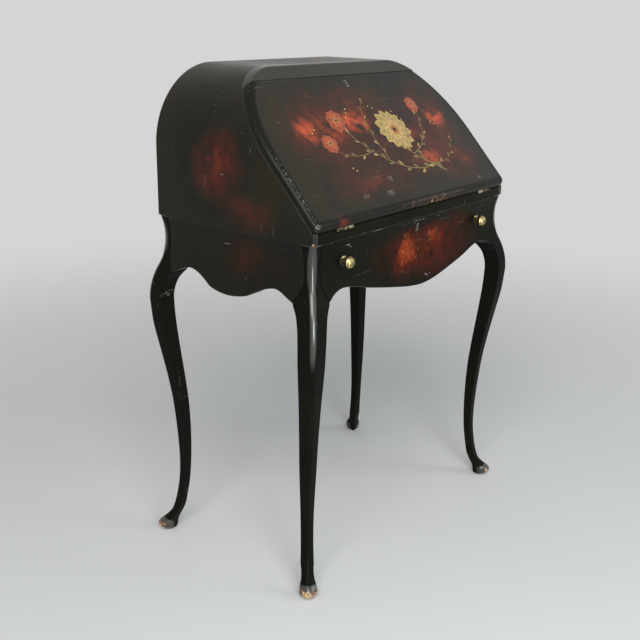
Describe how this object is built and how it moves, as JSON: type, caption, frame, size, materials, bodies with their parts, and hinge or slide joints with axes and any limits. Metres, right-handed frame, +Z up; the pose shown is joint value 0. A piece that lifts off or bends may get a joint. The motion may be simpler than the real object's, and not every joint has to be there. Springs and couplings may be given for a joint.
{
  "type": "drop-front desk",
  "caption": "Small black-lacquered desk with a barrel top, sloping drop front, one hollow-faced drawer and four cabriole legs.",
  "frame": {"origin": "floor level below the middle of the plan", "axes": "+X to the sitter's right, +Y from the front to the back, +Z up"},
  "size_m": [0.743, 0.453, 1.028],
  "materials": {
    "lacquered_wood": "aged black lacquer, satin",
    "painted_lid": "aged black lacquer with a painted ornament, satin",
    "bare_wood": "oiled hardwood",
    "brass": "aged, polished by handling",
    "steel": "dull",
    "leather": "worn"
  },
  "bodies": {
    "desk": {"leg_front_left": "lacquered_wood", "leg_front_right": "lacquered_wood", "leg_back_left": "lacquered_wood", "leg_back_right": "lacquered_wood", "apron_left": "lacquered_wood", "apron_right": "lacquered_wood", "apron_back": "lacquered_wood", "drawer_runner_left": "bare_wood", "drawer_runner_right": "bare_wood", "drawer_stops": "bare_wood", "writing_bed": "lacquered_wood", "case_shell": "lacquered_wood", "case_back": "bare_wood", "fascia": "lacquered_wood", "fascia_rail": "lacquered_wood", "case_screws": "steel", "back_screws": "brass", "gallery_end_left": "bare_wood", "gallery_end_right": "bare_wood", "gallery_shelf": "bare_wood", "gallery_top": "bare_wood", "gallery_dividers_lower": "bare_wood", "gallery_dividers_upper": "bare_wood", "lid_strike": "brass", "hinge_bed_leaf_left": "brass", "hinge_bed_leaf_right": "brass", "hinge_screws_bed": "brass", "stay_case_bracket_left": "brass", "stay_case_bracket_right": "brass", "drawer_strike": "brass"},
    "lid": {"lid_panel": "painted_lid", "lid_leather": "leather", "lid_escutcheon": "brass", "lid_lock_case": "brass", "hinge_lid_leaf_left": "brass", "hinge_lid_leaf_right": "brass", "hinge_pins": "steel", "hinge_screws_lid": "brass", "stay_lid_bracket_left": "brass", "stay_lid_bracket_right": "brass"},
    "drawer": {"drawer_front": "lacquered_wood", "drawer_side_left": "bare_wood", "drawer_side_right": "bare_wood", "drawer_back": "bare_wood", "drawer_bottom": "bare_wood", "drawer_knob_left": "brass", "drawer_knob_right": "brass", "knob_rose_left": "brass", "knob_rose_right": "brass", "knob_nuts": "steel", "drawer_escutcheon": "brass", "drawer_lock_case": "brass"},
    "lid_bolt": {"lid_lock_bolt": "steel"},
    "drawer_bolt": {"drawer_lock_bolt": "steel"},
    "stay_case_left": {"stay_case_arm_left": "brass"},
    "stay_case_right": {"stay_case_arm_right": "brass"},
    "stay_lid_left": {"stay_lid_arm_left": "brass"},
    "stay_lid_right": {"stay_lid_arm_right": "brass"}
  },
  "joints": [
    {"name": "lid_hinge", "type": "hinge", "parent": "desk", "child": "lid", "pos_m": [0, -0.205, 0.75], "axis": [1, 0, 0], "range_deg": [0, 133]},
    {"name": "drawer_slide", "type": "slide", "parent": "desk", "child": "drawer", "axis": [0, -1, 0], "range_m": [0, 0.25]},
    {"name": "lid_bolt_throw", "type": "slide", "parent": "lid", "child": "lid_bolt", "axis": [0, 0.682, 0.7314], "range_m": [0, 0.0045]},
    {"name": "drawer_bolt_throw", "type": "slide", "parent": "drawer", "child": "drawer_bolt", "axis": [0, 0, 1], "range_m": [0, 0.0045]},
    {"name": "stay_case_pivot_left", "type": "hinge", "parent": "desk", "child": "stay_case_left", "pos_m": [-0.3285, -0.08762, 0.77495], "axis": [1, 0, 0], "range_deg": [0, 133]},
    {"name": "stay_lid_pivot_left", "type": "hinge", "parent": "lid", "child": "stay_lid_left", "pos_m": [-0.3225, -0.11731, 0.83231], "axis": [1, 0, 0], "range_deg": [-133, 0]},
    {"name": "stay_case_pivot_right", "type": "hinge", "parent": "desk", "child": "stay_case_right", "pos_m": [0.3285, -0.08762, 0.77495], "axis": [1, 0, 0], "range_deg": [0, 133]},
    {"name": "stay_lid_pivot_right", "type": "hinge", "parent": "lid", "child": "stay_lid_right", "pos_m": [0.3225, -0.11731, 0.83231], "axis": [1, 0, 0], "range_deg": [-133, 0]}
  ],
  "couplings": [
    {"joint": "stay_case_pivot_left", "follows": "lid_hinge", "ratio": 1},
    {"joint": "stay_lid_pivot_left", "follows": "lid_hinge", "ratio": -1},
    {"joint": "stay_case_pivot_right", "follows": "lid_hinge", "ratio": 1},
    {"joint": "stay_lid_pivot_right", "follows": "lid_hinge", "ratio": -1}
  ]
}
